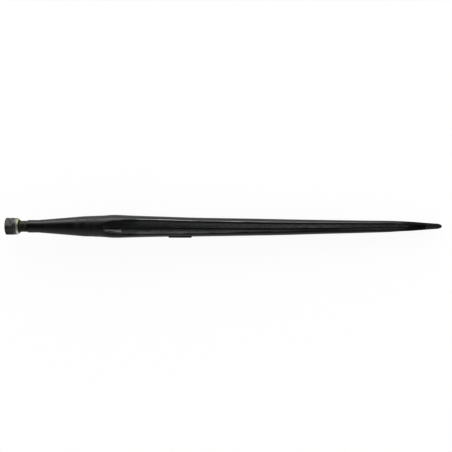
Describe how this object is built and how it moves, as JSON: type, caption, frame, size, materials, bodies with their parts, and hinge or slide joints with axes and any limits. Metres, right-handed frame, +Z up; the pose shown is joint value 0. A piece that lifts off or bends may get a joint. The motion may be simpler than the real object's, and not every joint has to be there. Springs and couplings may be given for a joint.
{
  "type": "bale spear",
  "caption": "Forged bale spear with a threaded end, tapered shank, grooved blade and rounded point, held by a cone nut, lying on its side.",
  "frame": {"origin": "on the spear's axis, at the small end of the taper, where it meets the neck", "axes": "+X along the axis towards the point, +Z up with the spear lying on its side, one groove up and one down, +Y towards the flange without the pad"},
  "size_m": [1.1, 0.0582, 0.0549],
  "materials": {
    "tine_paint": "satin",
    "nut_steel": "matte"
  },
  "bodies": {
    "root": {"tine": "tine_paint", "cone_nut": "nut_steel"}
  },
  "joints": []
}
